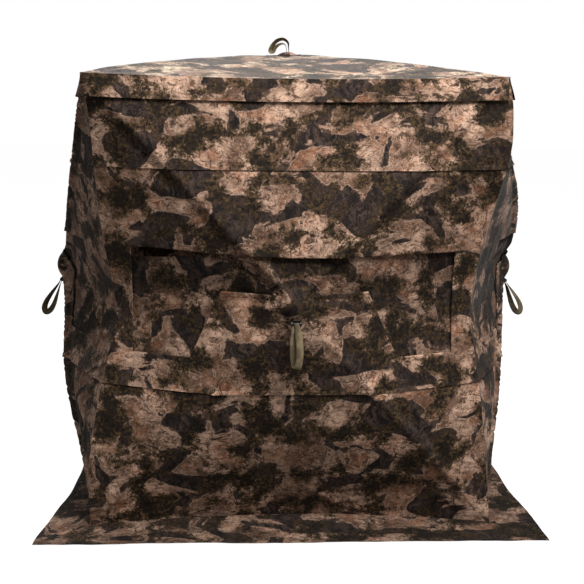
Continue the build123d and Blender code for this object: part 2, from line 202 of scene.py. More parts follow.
def wall_depth(wall, x, z):
    """How far out the cloth of a wall stands, with its folds."""
    rise = rise_of(z)
    pole_x = HALF * rise
    pole_depth = REACH - (REACH - HALF) * rise
    half = wall_halves(wall, x, z)
    past = np.abs(x) - pole_x
    drop = eased(past) / eased(np.maximum(half - pole_x, 0))
    depth = pole_depth - (pole_depth - half) * drop
    inside = smooth((half - np.abs(x)) / 0.12)
    upright = smooth((EAVE - z) / 0.12) * smooth(z / 0.12)
    k = WALLS[wall]
    high, low = PUFF[wall]
    middle = np.cos(np.clip(x / half, -1, 1) * math.pi / 2) ** 1.2
    low_level, high_level = PUFF_LEVELS
    width = 0.17 + 0.13 * smooth((high_level - z) / 0.1)
    puffs = high * middle * np.exp(-(((z - high_level) / width) ** 2)) * smooth((z - 0.885) / 0.09)
    width = 0.2 + 0.1 * smooth((low_level - z) / 0.1)
    puffs += low * middle * np.exp(-(((z - low_level) / width) ** 2))
    crest = np.exp(-((past / 0.016) ** 2)) * 0.010
    trough = np.exp(-(((past - 0.045) / 0.03) ** 2)) * 0.010
    ridge = (crest - trough) * smooth(rise / 0.1)
    folds = waves(x, z * 0.7, 11 + k, 14, 0.16, 0.7) * 0.0045
    folds += waves(x * 1.6, z * 0.6, 31 + k, 12, 0.07, 0.2) * 0.0012
    folds += fan(x, z, 0, HUB_Z, 13, 0.28, 3 + k) * 0.0045
    for side in (-1, 1):
        folds += fan(x, z, side * HALF, EAVE, 17, 0.22, 5 + k) * 0.006
        folds += fan(x, z, side * HALF, 0, 17, 0.22, 7 + k) * 0.007
    by_pole = np.exp(-((past / 0.05) ** 2))
    if wall == "back":
        # The zips lie on this wall's pole lines, so the cloth is straight there.
        depth += (puffs * inside + (folds + ridge) * inside * upright) * (1 - by_pole)
    else:
        depth += puffs * inside + (folds * (1 - 0.8 * by_pole) + ridge) * inside * upright
    foot = (1 - np.clip(x / HALF, -1, 1) ** 2) * smooth(1 - z / 0.4)
    return depth - FOOT_BOW * foot


def wall_lift(x, z):
    """Change of height where the eaves sag and the foot of the wall lifts."""
    bow = 1 - np.clip(x / HALF, -1, 1) ** 2
    return -EAVE_SAG * bow * smooth(1 - (EAVE - z) / 0.5) + FOOT_LIFT * bow * smooth(1 - z / 0.4)


def push_share(wall, x, z):
    """How much of the hub's travel a point of the wall follows, as the poles under it do."""
    rise = rise_of(z)
    half = wall_halves(wall, x, z)
    past = np.clip((np.abs(x) - HALF * rise) / np.maximum(half - HALF * rise, 1e-4), 0, 1)
    height = (1 - rise) * (1 - past)
    return np.clip((height - 0.05) / 0.907, 0, 1)


def wall_points(wall, x, z, out=0.0):
    """Points of a wall's cloth, given as x across and z up, in their place on the blind."""
    depth = wall_depth(wall, x, z) + out
    height = z + wall_lift(x, z)
    turn = WALLS[wall] * math.pi / 2
    c = round(math.cos(turn))
    s = round(math.sin(turn))
    return np.stack([c * x + s * depth, s * x - c * depth, height], axis=1)


# Meshes


def add_mesh(name, points, faces, uv, material, shade=True):
    """A smooth mesh, or a faceted one if shade is off, with a position on the cloth for each point."""
    mesh = bpy.data.meshes.new(name)
    mesh.from_pydata([tuple(p) for p in points], [], [tuple(int(i) for i in f) for f in faces])
    layer = mesh.uv_layers.new(name="cloth")
    loops = np.empty(len(mesh.loops), dtype=np.int32)
    mesh.loops.foreach_get("vertex_index", loops)
    layer.data.foreach_set("uv", np.asarray(uv, dtype=np.float32)[loops].ravel())
    mesh.polygons.foreach_set("use_smooth", [shade] * len(mesh.polygons))
    mesh.materials.append(material)
    obj = bpy.data.objects.new(name, mesh)
    bpy.context.scene.collection.objects.link(obj)
    return obj


def set_weights(obj):
    """Bakes the piece's place into its mesh."""
    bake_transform(obj)


def in_polygon(x, z, polygon):
    """Which points are inside a closed outline."""
    inside = np.zeros(len(x), bool)
    for (x0, z0), (x1, z1) in zip(polygon, polygon[1:] + polygon[:1]):
        crosses = (z0 > z) != (z1 > z)
        at = x0 + (z - z0) / (z1 - z0 if z1 != z0 else 1) * (x1 - x0)
        inside ^= crosses & (x < at)
    return inside


def divided(polygon, step):
    """The outline with points about a step apart."""
    points = []
    for (x0, z0), (x1, z1) in zip(polygon, polygon[1:] + polygon[:1]):
        count = max(1, int(round(math.hypot(x1 - x0, z1 - z0) / step)))
        points += [(x0 + (x1 - x0) * i / count, z0 + (z1 - z0) * i / count) for i in range(count)]
    return points


def cut_cloth(outline, holes, step, seed):
    """Triangles that fill an outline except its holes. Returns x, z and the faces."""
    loops = [divided(loop, step) for loop in [outline] + holes]
    rng = np.random.RandomState(seed)
    xs = [p[0] for p in outline]
    zs = [p[1] for p in outline]
    gx, gz = np.meshgrid(np.arange(min(xs), max(xs), step), np.arange(min(zs), max(zs), step))
    x = gx.ravel() + rng.uniform(-0.15, 0.15, gx.size) * step
    z = gz.ravel() + rng.uniform(-0.15, 0.15, gx.size) * step
    keep = in_polygon(x, z, outline)
    for hole in holes:
        keep &= ~in_polygon(x, z, hole)
    edge = np.array([p for loop in loops for p in loop])
    for ex, ez in edge:
        near = np.abs(x - ex) + np.abs(z - ez) < step * 0.55
        keep &= ~near
    for level in SEAM_LEVELS:
        keep &= np.abs(z - level) > step * 0.35
    points = [Vector(p) for p in edge] + [Vector(p) for p in zip(x[keep], z[keep])]
    edges = []
    first = 0
    for loop in loops:
        count = len(loop)
        edges += [(first + i, first + (i + 1) % count) for i in range(count)]
        first += count
    for level in SEAM_LEVELS:
        row = np.arange(min(xs), max(xs), step * 0.8)
        row = row[in_polygon(row, np.full(len(row), level), outline)][1:-1]
        edges += [(len(points) + i, len(points) + i + 1) for i in range(len(row) - 1)]
        points += [Vector((v, level)) for v in row]
    found = delaunay_2d_cdt(points, edges, [], 0, 1e-6)
    px = np.array([p[0] for p in found[0]])
    pz = np.array([p[1] for p in found[0]])
    faces = np.array([f for f in found[2]])
    mx = px[faces].mean(1)
    mz = pz[faces].mean(1)
    keep = in_polygon(mx, mz, outline)
    for hole in holes:
        keep &= ~in_polygon(mx, mz, hole)
    return px, pz, faces[keep]


def side_edge(wall, side):
    """The corner seam as points from the ground to the eave."""
    z = np.linspace(0.0, EAVE, 80)
    half = wall_halves(wall, np.full(len(z), side, float), z)
    return [(side * h, v) for h, v in zip(half, z)]


def wall_piece(name, wall, outline, holes, trims, material):
    """A panel of wall cloth inside an outline, as a sheet held taut by its hub."""
    x, z, faces = cut_cloth(outline, holes, STEP, 5 + WALLS[wall])
    points = wall_points(wall, x, z)
    uv = np.stack([x + WALL_SHIFT * WALLS[wall], z], axis=1)
    obj = add_mesh(name, points, faces, uv, material)
    set_weights(obj)
    match_panels(obj, z)
    return obj


def match_panels(obj, z):
    """The camouflage breaks at each seam, because the panels were cut from different places."""
    layer = obj.data.uv_layers["cloth"].data
    for face in obj.data.polygons:
        level = np.mean([z[i] for i in face.vertices])
        for loop in face.loop_indices:
            layer[loop].uv += Vector(PANEL_SHIFT[sum(level > seam for seam in SEAM_LEVELS)])


def strip(name, wall, columns, rows, top_at, drop, outs, material):
    """A band of cloth along a wall: columns of (x, top z), hanging by drop, with outs from top to foot."""
    x = np.repeat(columns[:, None], rows, axis=1)
    t = np.linspace(0, 1, rows)[None, :]
    z = top_at[:, None] - drop * t
    out = np.interp(t, np.linspace(0, 1, len(outs)), outs) * np.ones_like(x)
    edge = wall_halves(wall, x.ravel(), z.ravel()).reshape(x.shape)
    limit = np.abs(x) > edge - 0.004
    x = np.where(limit, np.sign(x) * (edge + out * 0.98), x)
    flat_x = x.ravel()
    flat_z = z.ravel()
    points = wall_points(wall, flat_x, flat_z, out.ravel())
    faces = grid_faces(len(columns), rows)
    uv = np.stack([flat_x + WALL_SHIFT * WALLS[wall] + BAND_SHIFT[0], flat_z + BAND_SHIFT[1]], axis=1)
    obj = add_mesh(name, points, faces, uv, material)
    set_weights(obj)
    return obj


def grid_faces(columns, rows):
    return [
        (i * rows + j, (i + 1) * rows + j, (i + 1) * rows + j + 1, i * rows + j + 1)
        for i in range(columns - 1)
        for j in range(rows - 1)
    ]


# Materials


class Nodes:
    """Short names for building a shader."""

    def __init__(self, name):
        self.material = bpy.data.materials.new(name)
        self.material.use_nodes = True
        self.tree = self.material.node_tree
        self.surface = self.tree.nodes["Principled BSDF"]

    def add(self, kind, **settings):
        node = self.tree.nodes.new(kind)
        for key, value in settings.items():
            setattr(node, key, value)
        return node

    def link(self, out, into):
        self.tree.links.new(out, into)

    def uv(self, scale, offset=(0, 0, 0), turn=0.0):
        place = self.add("ShaderNodeUVMap", uv_map="cloth")
        mapping = self.add("ShaderNodeMapping")
        mapping.inputs["Location"].default_value = offset
        mapping.inputs["Rotation"].default_value = (0, 0, turn)
        mapping.inputs["Scale"].default_value = scale
        self.link(place.outputs[0], mapping.inputs[0])
        return mapping.outputs[0]

    def solid_coordinates(self, scale):
        place = self.add("ShaderNodeTexCoord")
        mapping = self.add("ShaderNodeMapping")
        mapping.inputs["Scale"].default_value = scale
        self.link(place.outputs["Object"], mapping.inputs[0])
        return mapping.outputs[0]

    def noise(self, where, scale, detail=4.0, rough=0.5, distort=0.0, kind="2D"):
        node = self.add("ShaderNodeTexNoise", noise_dimensions=kind)
        self.link(where, node.inputs["Vector"])
        node.inputs["Scale"].default_value = scale
        node.inputs["Detail"].default_value = detail
        node.inputs["Roughness"].default_value = rough
        node.inputs["Distortion"].default_value = distort
        return node.outputs["Fac"]

    def step(self, value, low, high, to=(0.0, 1.0)):
        node = self.add("ShaderNodeMapRange", interpolation_type="SMOOTHSTEP")
        self.link(value, node.inputs["Value"])
        node.inputs["From Min"].default_value = low
        node.inputs["From Max"].default_value = high
        node.inputs["To Min"].default_value = to[0]
        node.inputs["To Max"].default_value = to[1]
        return node.outputs["Result"]

    def math(self, how, a, b):
        node = self.add("ShaderNodeMath", operation=how)
        for socket, value in zip(node.inputs, (a, b)):
            if isinstance(value, (int, float)):
                socket.default_value = value
            else:
                self.link(value, socket)
        return node.outputs[0]

    def mix(self, factor, under, over):
        node = self.add("ShaderNodeMix", data_type="RGBA")
        self.link(factor, node.inputs[0])
        for socket, value in ((node.inputs[6], under), (node.inputs[7], over)):
            if isinstance(value, tuple):
                socket.default_value = (*value, 1)
            else:
                self.link(value, socket)
        return node.outputs[2]

    def bump(self, height, strength, distance):
        node = self.add("ShaderNodeBump")
        self.link(height, node.inputs["Height"])
        node.inputs["Strength"].default_value = strength
        node.inputs["Distance"].default_value = distance
        self.link(node.outputs["Normal"], self.surface.inputs["Normal"])


def linear(r, g, b):
    """A display colour, 0 to 255, as a shader's linear one."""
    return tuple(((c / 255 + 0.055) / 1.055) ** 2.4 if c > 10 else c / 255 / 12.92 for c in (r, g, b))


def camouflage(name, painted_light_gain, sheen=0.05):
    """Dark limb-like swoops and foliage over tan ground, with rust, cracks and pale flecks; the gain scales
    every tone, a painted shade below 1 and a painted highlight above 1.
    """
    n = Nodes(name)

    def tone(r, g, b):
        return tuple(min(0.8, c * painted_light_gain * warm) for c, warm in zip(linear(r, g, b), WARMTH))

    plain = n.uv((1, 1, 1))
    stir = n.add("ShaderNodeTexNoise", noise_dimensions="2D")
    n.link(plain, stir.inputs["Vector"])
    stir.inputs["Scale"].default_value = 7
    stir.inputs["Detail"].default_value = 5
    stir.inputs["Roughness"].default_value = 0.62
    warp = n.add("ShaderNodeVectorMath", operation="MULTIPLY_ADD")
    n.link(stir.outputs["Color"], warp.inputs[0])
    warp.inputs[1].default_value = (0.17, 0.13, 0)
    n.link(plain, warp.inputs[2])
    where = warp.outputs[0]
    ragged = n.noise(plain, 48, 6, 0.78)
    fine = n.noise(plain, 130, 5, 0.75)
    cloud = n.noise(plain, 17, 6, 0.7)

    hills = n.noise(where, 6.5, 3, 0.55)
    base = n.mix(n.step(hills, 0.34, 0.62), tone(108, 83, 68), tone(197, 167, 148))
    base = n.mix(n.step(cloud, 0.46, 0.7, (0.0, 0.8)), base, tone(100, 77, 62))
    base = n.mix(n.step(fine, 0.5, 0.66, (0.0, 0.5)), base, tone(212, 186, 168))
    fleck = n.noise(n.uv((0.8, 1.2, 1), (5.7, 2.3, 0)), 42, 7, 0.82, 0.6)
    base = n.mix(n.step(fleck, 0.49, 0.55, (0.0, 0.7)), base, tone(92, 68, 55))
    base = n.mix(n.step(fleck, 0.57, 0.61, (0.0, 0.8)), base, tone(48, 35, 29))

    rust_zone = n.step(n.noise(where, 6, 2, 0.5), 0.49, 0.58)
    rust = n.math("MULTIPLY", rust_zone, n.step(n.math("ADD", fine, ragged), 0.96, 1.12, (0.0, 0.7)))
    base = n.mix(rust, base, tone(146, 90, 56))

    limb = n.noise(n.uv((0.9, 1.25, 1), (3.3, 1.7, 0), 0.6), 6.2, 3, 0.5, 0.55)
    limb = n.math("ADD", limb, n.math("MULTIPLY", ragged, 0.13))
    base = n.mix(n.step(limb, 0.50, 0.60, (0.0, 0.55)), base, tone(78, 60, 48))
    rim = n.math("MULTIPLY", n.step(limb, 0.575, 0.59), n.step(limb, 0.59, 0.605, (1.0, 0.0)))
    base = n.mix(n.math("MULTIPLY", rim, 0.8), base, tone(176, 150, 134))
    grain = n.add("ShaderNodeMapping")
    grain.inputs["Rotation"].default_value = (0, 0, 0.9)
    grain.inputs["Scale"].default_value = (4.5, 1.0, 1)
    n.link(where, grain.inputs[0])
    streak = n.noise(grain.outputs[0], 14, 5, 0.7, 0.8)
    inner = n.mix(n.step(streak, 0.42, 0.6), tone(19, 15, 14), tone(72, 59, 54))
    inner = n.mix(n.step(cloud, 0.45, 0.6, (0.0, 0.7)), inner, tone(20, 15, 14))
    base = n.mix(n.step(limb, 0.59, 0.63), base, inner)

    bush = n.noise(n.uv((1.0, 1.15, 1), (7.9, 5.1, 0)), 7.5, 3, 0.55, 0.2)
    bush = n.math("ADD", bush, n.math("MULTIPLY", n.math("ADD", ragged, fine), 0.36))
    base = n.mix(n.step(bush, 0.83, 0.93, (0.0, 0.8)), base, tone(62, 47, 35))
    leaves = n.noise(plain, 75, 4, 0.75)
    olive = n.mix(n.step(leaves, 0.44, 0.6), tone(18, 13, 8), tone(86, 69, 43))
    base = n.mix(n.step(bush, 0.885, 0.925, (0.0, 0.9)), base, olive)
    base = n.mix(n.step(bush, 0.95, 1.02, (0.0, 0.8)), base, tone(16, 11, 8))

    twig = n.noise(n.uv((1, 1, 1), (1.1, 9.4, 0)), 9, 5, 0.62, 0.8)
    twig = n.math("ABSOLUTE", n.math("SUBTRACT", twig, 0.5), 0)
    base = n.mix(n.step(twig, 0.003, 0.010, (0.85, 0.0)), base, tone(42, 30, 22))

    n.link(base, n.surface.inputs["Base Color"])
    n.surface.inputs["Roughness"].default_value = 0.85
    n.surface.inputs["Specular IOR Level"].default_value = 0.2
    n.surface.inputs["Sheen Weight"].default_value = sheen
    n.surface.inputs["Sheen Roughness"].default_value = 0.35
    creases = n.noise(plain, 16, 5, 0.6)
    weave = n.math("MULTIPLY", n.noise(plain, 900, 2, 0.5), 0.04)
    n.bump(n.math("ADD", creases, weave), 0.3, 0.012)
    return n.material


def webbing_material(name, color, dark):
    """Woven strap: fine ribs across, and darker patches."""
    n = Nodes(name)
    where = n.uv((1, 1, 1))
    ribs = n.add("ShaderNodeTexWave", wave_type="BANDS", bands_direction="Y")
    n.link(where, ribs.inputs["Vector"])
    ribs.inputs["Scale"].default_value = 130
    ribs.inputs["Distortion"].default_value = 1.2
    fibre = n.noise(where, 160, 3, 0.6)
    shade = n.math("MULTIPLY", ribs.outputs["Fac"], n.step(fibre, 0.2, 0.8, (0.6, 1.0)))
    tint = n.mix(n.step(n.noise(where, 22, 3, 0.6), 0.4, 0.65), color, linear(74, 58, 36))
    n.link(n.mix(shade, dark, tint), n.surface.inputs["Base Color"])
    n.surface.inputs["Roughness"].default_value = 0.8
    n.bump(ribs.outputs["Fac"], 0.5, 0.001)
    return n.material


def moulded_material(name, color, worn, rough):
    """Moulded plastic: a fine grain, and paler scuffs in patches."""
    n = Nodes(name)
    where = n.solid_coordinates((1, 1, 1))
    scuff = n.step(n.noise(where, 35, 5, 0.7, kind="3D"), 0.5, 0.75)
    n.link(n.mix(scuff, color, worn), n.surface.inputs["Base Color"])
    n.link(n.step(scuff, 0, 1, (rough, rough + 0.2)), n.surface.inputs["Roughness"])
    n.bump(n.noise(where, 900, 2, 0.5, kind="3D"), 0.25, 0.0006)
    return n.material


def metal_material(name, color):
    """Turned steel: fine brushed lines and dull spots."""
    n = Nodes(name)
    lines = n.noise(n.solid_coordinates((40, 40, 900)), 1, 3, 0.6, kind="3D")
    spots = n.step(n.noise(n.solid_coordinates((1, 1, 1)), 120, 4, 0.6, kind="3D"), 0.45, 0.7)
    n.link(n.mix(spots, color, tuple(c * 0.45 for c in color)), n.surface.inputs["Base Color"])
    n.surface.inputs["Metallic"].default_value = 1.0
    n.link(n.step(lines, 0.3, 0.7, (0.55, 0.7)), n.surface.inputs["Roughness"])
    n.bump(lines, 0.2, 0.0004)
    return n.material


def woven_material(name, color, dark):
    """Coarse coated cloth: threads both ways."""
    n = Nodes(name)
    where = n.solid_coordinates((1, 1, 1))
    threads = []
    for direction in ("X", "Z"):
        wave = n.add("ShaderNodeTexWave", wave_type="BANDS", bands_direction=direction)
        n.link(where, wave.inputs["Vector"])
        wave.inputs["Scale"].default_value = 220
        wave.inputs["Distortion"].default_value = 0.6
        threads.append(wave.outputs["Fac"])
    weave = n.math("MAXIMUM", *threads)
    patchy = n.noise(where, 30, 4, 0.6, kind="3D")
    n.link(n.mix(n.math("MULTIPLY", weave, patchy), dark, color), n.surface.inputs["Base Color"])
    n.surface.inputs["Roughness"].default_value = 0.85
    n.bump(weave, 0.5, 0.0008)
    return n.material


# Pieces


def window_outline(half, left_sill, right_sill, top_left, top_right):
    """The window's edge as seen from outside, its bib cut out of the bottom."""
    return [
        (-half, WINDOW_SILL),
        (left_sill[0], WINDOW_SILL),
        (left_sill[1], BIB_TOP),
        (right_sill[1], BIB_TOP),
        (right_sill[0], WINDOW_SILL),
        (half, WINDOW_SILL),
        (half, top_right),
        (0.0, WINDOW_TOP),
        (-half, top_left),
    ]


WINDOWS = {
    "front": window_outline(0.575, (-0.365, -0.255), (0.365, 0.255), WINDOW_CORNER, WINDOW_TOP),
    "right": window_outline(0.40, (-0.23, -0.15), (0.23, 0.15), WINDOW_TOP, WINDOW_TOP),
    "left": window_outline(0.40, (-0.23, -0.15), (0.23, 0.15), WINDOW_TOP, WINDOW_TOP),
}


def whole_outline(wall):
    left = side_edge(wall, -1)
    right = side_edge(wall, 1)
    return left[::-1] + right


def add_walls(material):
    for wall in ("front", "right", "left"):
        trims = [add_window_edge(wall, WINDOWS[wall], material), add_corner_webs(wall)]
        outline = whole_outline(wall)
        cloth = wall_piece("cloth_" + wall, wall, outline, [WINDOWS[wall]], trims, material)
        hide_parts("wall_" + wall)
    right = side_edge("back", 1)
    left = side_edge("back", -1)
    trims = [add_zip(0, EAVE), add_zip(1, 0.0)]
    door = wall_piece("cloth_door", "back", [(0.0, HUB_Z)] + right, [], trims, material)
    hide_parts("door_panel")
    rest = left[::-1] + [(HALF, 0.0), (0.0, HUB_Z), (HALF, EAVE)]
    cloth = wall_piece("cloth_back", "back", rest, [], [add_corner_webs("back")], material)
    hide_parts("wall_back")


def add_corner_webs(wall):
    """Quarter rounds of heavy cloth sewn inside the four corners of a wall."""
    material = bpy.data.materials["dark_trim"]
    rings = 9
    spokes = 13
    radii = np.linspace(0.012, WEB_R, rings)
    angles = np.linspace(0, math.pi / 2, spokes)
    radius, angle = np.meshgrid(radii, angles, indexing="ij")
    run = (radius * np.cos(angle)).ravel()
    rise = (radius * np.sin(angle)).ravel()
    points = []
    uv = []
    faces = []
    for side in (-1, 1):
        for level, way in ((EAVE - 0.004, -1), (0.004, 1)):
            z = level + way * rise
            half = wall_halves(wall, np.full(len(z), float(side)), z)
            x = side * (half - 0.006 - run)
            first = sum(len(p) for p in points)
            points.append(wall_points(wall, x, z, -0.004))
            uv.append(np.stack([x, z], axis=1))
            faces += [tuple(first + i for i in face) for face in grid_faces(rings, spokes)]
    name = "webs_" + wall
    obj = add_mesh(name, np.concatenate(points), faces, np.concatenate(uv), material)
    set_weights(obj)
    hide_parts("pockets_high", "pockets_low")
    return obj


def add_boot(joint):
    """The cloth sleeve on a pole's tip, with a hemmed mouth and a flat seam along one side."""
    pole = joint["child"]
    corners = np.empty(len(frame["nodes"][pole].data.vertices) * 3)
    frame["nodes"][pole].data.vertices.foreach_get("co", corners)
    corners = corners.reshape(-1, 3)
    pivot = np.array(joint["pos_m"])
    away = np.linalg.norm(corners - pivot, axis=1)
    tip = corners[away > away.max() - 0.003].mean(0)
    along = (tip - pivot) / np.linalg.norm(tip - pivot)
    side = np.cross(along, (0, 0, 1))
    side /= np.linalg.norm(side)
    other = np.cross(along, side)
    spokes = 28
    angle = np.linspace(0, 2 * math.pi, spokes, endpoint=False)
    fin = np.exp(-((np.minimum(angle, 2 * math.pi - angle) / 0.22) ** 2))
    profile = [(-0.074, 0.0082, 0.0), (-0.076, 0.0098, 0.0), (-0.073, 0.0106, 0.3), (-0.064, 0.0104, 1.0)]
    profile += [(-0.061, 0.0092, 1.0), (-0.04, 0.0089, 1.0), (-0.018, 0.0090, 1.0), (-0.004, 0.0086, 0.8)]
    profile += [(0.0025, 0.0062, 0.4), (0.0042, 0.0025, 0.0)]
    points = []
    uv = []
    for run, radius, seam in profile:
        outward = np.cos(angle)[:, None] * side + np.sin(angle)[:, None] * other
        points.append(tip + along * run + (radius + 0.006 * seam * fin)[:, None] * outward)
        uv.append(np.stack([angle * 0.01, np.full(spokes, run)], axis=1))
    faces = []
    for ring in range(len(profile) - 1):
        a = ring * spokes
        for i in range(spokes):
            j = (i + 1) % spokes
            faces.append((a + i, a + j, a + spokes + j, a + spokes + i))
    last = (len(profile) - 1) * spokes
    faces.append(tuple(range(last, last + spokes)))
    material = bpy.data.materials["dark_trim"]
    obj = add_mesh("boot_" + pole, np.concatenate(points), faces, np.concatenate(uv), material)
    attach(obj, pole)
    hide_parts("pockets_low" if "_low_" in pole else "pockets_high")


def add_zip(index, end):
    """Tape and teeth along one pole line of the back wall."""
    material = bpy.data.materials["dark_trim"]
    half_profile = [(-0.016, 0.001), (-0.0045, 0.0016), (-0.003, 0.0042)]
    profile = half_profile + [(-across, out) for across, out in half_profile[::-1]]
    rows = 340
    along = np.linspace(0.075, 0.985, rows)
    line = np.stack([HALF * along, HUB_Z + (end - HUB_Z) * along], axis=1)
    ahead = (line[-1] - line[0]) / np.linalg.norm(line[-1] - line[0])
    side = np.array([-ahead[1], ahead[0]])
    points = []
    uv = []
    for across, out in profile:
        tooth = np.where(np.arange(rows) % 2 == 0, 0.0, -0.0016) if out > 0.004 else 0.0
        at = line + side * across
        points.append(wall_points("back", at[:, 0], at[:, 1], out + tooth))
        uv.append(np.stack([np.full(rows, across), along], axis=1))
    columns = len(profile)
    faces = []
    for column in range(columns - 1):
        for a in range(column * rows, (column + 1) * rows - 1):
            faces.append((a + 1, a + 1 + rows, a + rows, a))
    name = "zip_" + ("high", "low")[index]
    obj = add_mesh(name, np.concatenate(points), faces, np.concatenate(uv), material, False)
    set_weights(obj)
    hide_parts("door_zips")
    return obj


def roof_height(s, t):
    """Height of the roof cloth, by place across and along as shares of half its size."""
    x = s * HALF
    y = t * HALF
    reach = np.maximum(np.abs(s), np.abs(t))
    other = np.minimum(np.abs(s), np.abs(t))
    bow = 1 - (other / np.maximum(reach, 1e-6)) ** 2
    inside = smooth((1 - reach) / 0.12)
    folds = waves(x, y, 71, 14, 0.2, 0.8) * 0.005 + fan(x, y, 0, 0, 14, 0.3, 9) * 0.005
    for cx in (-HALF, HALF):
        for cy in (-HALF, HALF):
            folds += fan(x, y, cx, cy, 17, 0.2, 13) * 0.005
    arch = 0.021 * np.sin(math.pi * np.clip(reach, 0, 1) ** 0.75)
    return EAVE + (APEX - EAVE) * (1 - reach) - EAVE_SAG * bow * smooth(reach) + folds * inside + arch


def add_roof(material):
    count = 105
    line = np.linspace(-1, 1, count)
    gx, gy = np.meshgrid(line, line, indexing="ij")
    s = gx.ravel()
    t = gy.ravel()
    x = s * HALF
    y = t * HALF
    z = roof_height(s, t)
    points = np.stack([x, y, z], axis=1)
    uv = np.stack([x, y + 9.3], axis=1)
    obj = add_mesh("cloth_roof", points, grid_faces(count, count), uv, material)
    set_weights(obj)
    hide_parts("roof_cloth")


def add_valance(material):
    for wall in WALLS:
        k = WALLS[wall]
        columns = np.linspace(-HALF, HALF, BAND)
        ripple = 0.85 + 0.3 * waves(columns, columns * 0, 41 + k, 6, 0.2, 0.8)
        top = np.full(BAND, EAVE + 0.0005)
        outs = [0.002, 0.005, 0.009, 0.012]
        obj = strip("valance_" + wall, wall, columns, 10, top, VALANCE_DROP, outs, material)
        bend_out(obj, wall, ripple, 10)
        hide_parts("eave_valance")


def bend_out(obj, wall, ripple, rows):
    """Lets the foot of a hanging band wave in and out."""
    turn = WALLS[wall] * math.pi / 2
    out = Vector((math.sin(turn), -math.cos(turn), 0))
    for index, vertex in enumerate(obj.data.vertices):
        column, row = divmod(index, rows)
        vertex.co += out * float((ripple[column] - 0.85) * 0.012 * row / (rows - 1))


def add_seams(material):
    seams = {"high": (SEAM_LEVELS[1], PANEL_SHIFT[2]), "low": (SEAM_LEVELS[0], PANEL_SHIFT[1])}
    for wall in WALLS:
        for level, (z, shift) in seams.items():
            columns = np.linspace(-HALF, HALF, BAND)
            half = wall_halves(wall, columns, np.full(BAND, z))
            columns = columns * half / HALF
            top = np.full(BAND, z + 0.007)
            name = "seam_" + wall + "_" + level
            outs = [0.0006, 0.003, 0.005]
            obj = strip(name, wall, columns, 4, top, SEAM_WIDTH, outs, material)
            for corner in obj.data.uv_layers["cloth"].data:
                corner.uv += Vector(shift) - Vector(BAND_SHIFT)
            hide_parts("seam_tapes")


def add_window_edge(wall, outline, material):
    """A turned hem round a window: two layers and a rounded lip."""
    loop = divided(outline, 0.012)
    count = len(loop)
    centre = np.array(loop)
    ahead = np.roll(centre, -1, axis=0) - np.roll(centre, 1, axis=0)
    ahead /= np.linalg.norm(ahead, axis=1)[:, None]
    side = np.stack([ahead[:, 1], -ahead[:, 0]], axis=1)
    profile = [(-0.016, 0.0008), (-0.003, 0.0022), (0.0006, 0.0012), (0.0006, -0.003), (-0.016, -0.0036)]
    points = []
    uv = []
    for across, out in profile:
        at = centre - side * across
        points.append(wall_points(wall, at[:, 0], at[:, 1], out))
        uv.append(np.stack([at[:, 0] + WALL_SHIFT * WALLS[wall], at[:, 1]], axis=1))
    faces = []
    for row in range(len(profile) - 1):
        for i in range(count):
            j = (i + 1) % count
            faces.append((row * count + i, row * count + j, (row + 1) * count + j, (row + 1) * count + i))
    obj = add_mesh("hem_" + wall, np.concatenate(points), faces, np.concatenate(uv), material)
    set_weights(obj)
    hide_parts("window_hems")
    return obj


def add_curtains(material):
    """Sheets hung inside the windows, dipping from their top corners."""
    for wall, outline in WINDOWS.items():
        half = outline[5][0] + 0.04
        columns = 110
        rows = 40
        x = np.repeat(np.linspace(-half, half, columns), rows)
        t = np.tile(np.linspace(0, 1, rows), columns)
        dip = 0.013 + 0.005 * np.cos(x * 9)
        if wall == "front":
            dip += 0.026 * smooth((-0.22 - x) / 0.25)
        top = WINDOW_CORNER - dip
        z = top + (CURTAIN_FOOT - top) * t
        away = np.hypot(x, z - HUB_Z)
        back = 0.014 + 0.012 * smooth(1 - away / 0.3)
        back += 0.006 * waves(x, z * 0.4, 57 + WALLS[wall], 9, 0.15, 0.6)
        back = np.maximum(back, 0.008) if wall == "front" else back * 0.3 + 0.002
        points = wall_points(wall, x, z, -back)
        faces = [
            f
            for f in grid_faces(columns, rows)
            if math.hypot(np.mean(x[list(f)]), np.mean(z[list(f)]) - HUB_Z) > 0.066
        ]
        uv = np.stack([x * 1.05 + WALL_SHIFT * WALLS[wall] + 5.3, z + 3.1], axis=1)
        obj = add_mesh("curtain_sheet_" + wall, points, faces, uv, material)
        set_weights(obj)
        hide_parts("curtain_" + wall)


